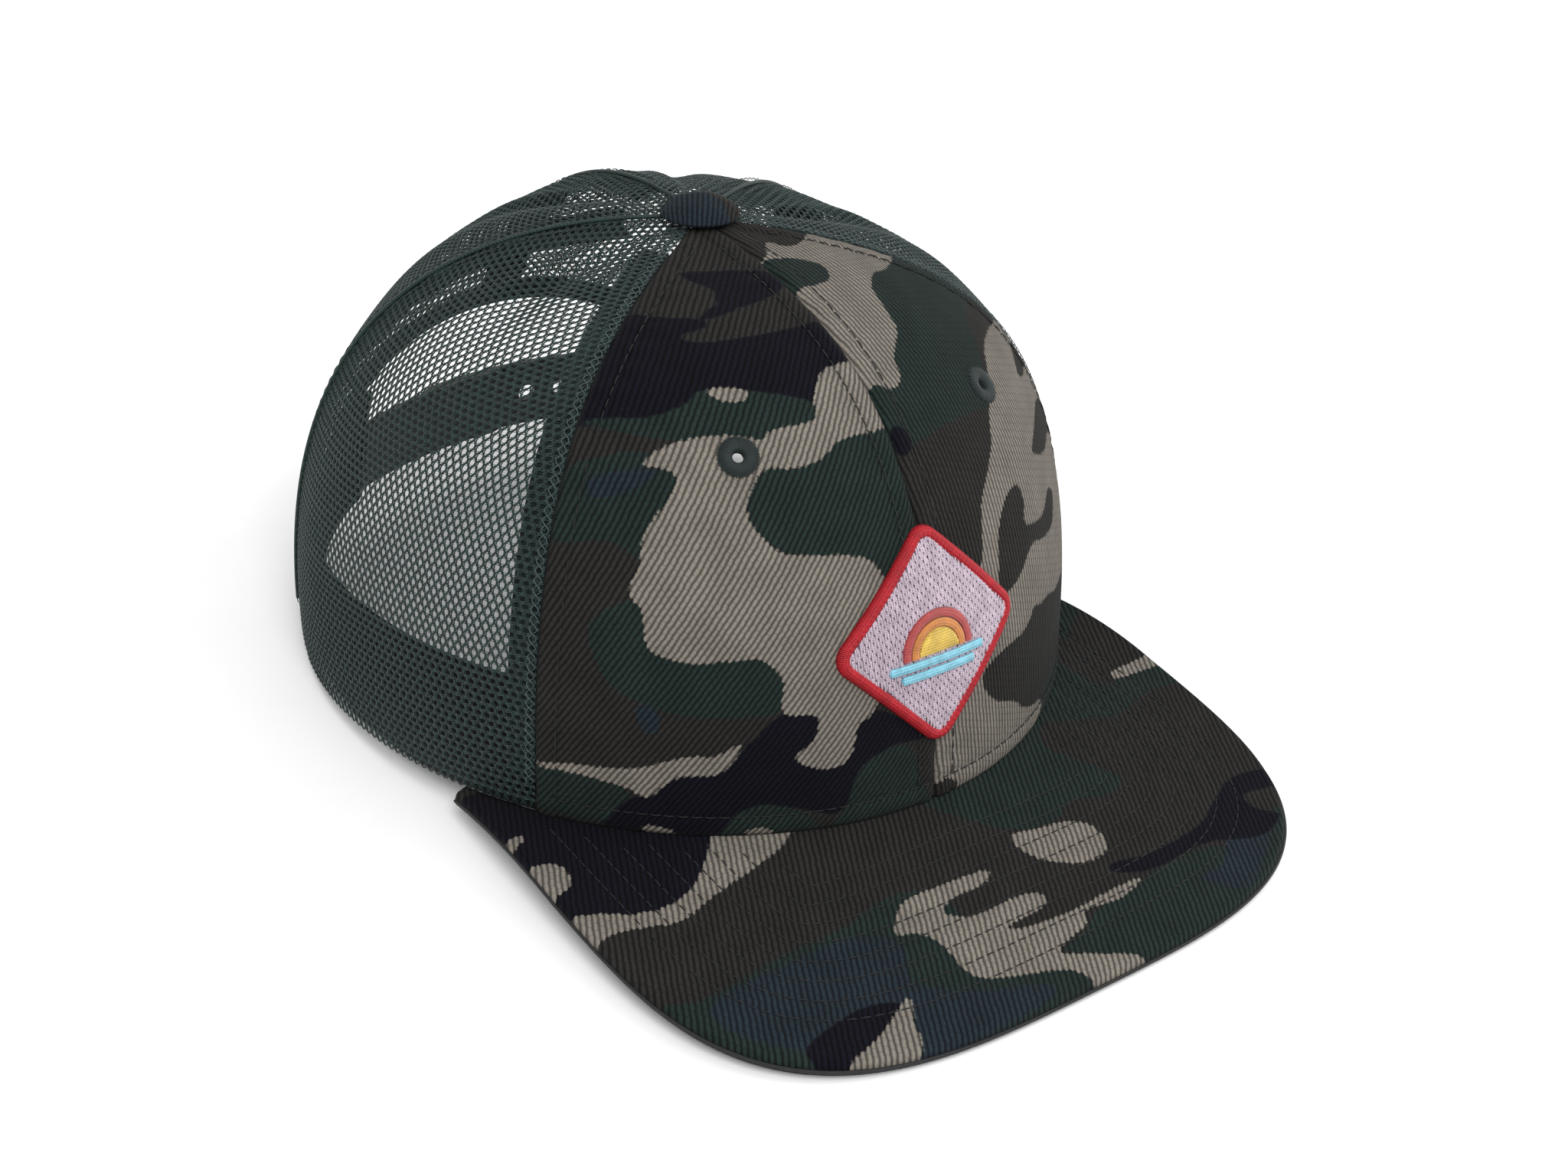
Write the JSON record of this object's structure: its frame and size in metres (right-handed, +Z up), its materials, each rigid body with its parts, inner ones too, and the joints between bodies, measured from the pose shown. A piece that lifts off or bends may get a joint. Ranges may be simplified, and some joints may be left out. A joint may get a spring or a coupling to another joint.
{
  "type": "trucker mesh cap",
  "caption": "Six-panel trucker cap with stiff camouflage twill front, dark green mesh sides and back, flat stitched visor, patch, button and snap strap.",
  "frame": {"origin": "middle of the bottom of the cap's box, on the surface it lies on", "axes": "-Y towards the front of the visor, +Z up, +X to the wearer's left"},
  "size_m": [0.1878, 0.254, 0.1203],
  "materials": {
    "camo_twill": "woodland camouflage cotton twill, matte",
    "buckram": "stiff open-weave buckram, matte",
    "mesh": "dark green polyester warp-knit net, slight sheen",
    "seam_tape": "woven cotton tape, matte",
    "sweatband_twill": "folded cotton twill band, matte",
    "binding": "woven bias tape, matte",
    "strap_plastic": "moulded soft plastic, satin",
    "visor_twill": "woodland camouflage cotton twill with rows of stitching",
    "visor_plastic": "flat moulded plastic insert",
    "button_twill": "twill stretched over a dome",
    "button_metal": "pressed sheet steel",
    "eyelet_thread": "satin-stitched rayon thread, soft sheen",
    "patch_border_thread": "merrowed thread edge",
    "patch_field_thread": "twill-filled embroidery thread",
    "motif_yellow": "satin-stitched thread",
    "motif_orange": "satin-stitched thread",
    "motif_red": "satin-stitched thread",
    "motif_blue": "satin-stitched thread"
  },
  "bodies": {
    "cap": {"eyelet_left": "eyelet_thread", "eyelet_right": "eyelet_thread", "front_centre_seam_tape": "seam_tape", "front_panel_left": "camo_twill", "front_panel_right": "camo_twill", "front_side_seam_tape_left": "seam_tape", "front_side_seam_tape_right": "seam_tape", "front_stiffener_left": "buckram", "front_stiffener_right": "buckram", "patch_border": "patch_border_thread", "patch_field": "patch_field_thread", "patch_ray_inner": "motif_orange", "patch_ray_outer": "motif_red", "patch_sun": "motif_yellow", "patch_waves": "motif_blue", "rear_centre_seam_tape": "seam_tape", "rear_mesh_panel_left": "mesh", "rear_mesh_panel_right": "mesh", "rear_opening_binding": "binding", "side_mesh_panel_left": "mesh", "side_mesh_panel_right": "mesh", "side_rear_seam_tape_left": "seam_tape", "side_rear_seam_tape_right": "seam_tape", "strap_sewn_end_holes": "strap_plastic", "strap_sewn_end_pegs": "strap_plastic", "sweatband": "sweatband_twill", "top_button_cover": "button_twill", "top_button_rivet": "button_metal", "top_button_shell": "button_metal", "visor_board": "visor_plastic", "visor_bottom_fabric": "visor_twill", "visor_top_fabric": "visor_twill"},
    "holed_strap": {"snap_strap_with_holes": "strap_plastic"},
    "pegged_strap": {"snap_strap_with_pegs": "strap_plastic"}
  },
  "joints": [
    {"name": "holed_strap_swing", "type": "hinge", "parent": "cap", "child": "holed_strap", "pos_m": [0.0478, 0.11588, 0.02153], "axis": [0, 0.064, -0.998], "range_deg": [0, 65], "stiffness_Nm_per_rad": 0.01},
    {"name": "pegged_strap_swing", "type": "hinge", "parent": "cap", "child": "pegged_strap", "pos_m": [-0.04724, 0.1146, 0.02165], "axis": [0, 0.064, -0.998], "range_deg": [0, 35], "stiffness_Nm_per_rad": 0.01}
  ]
}
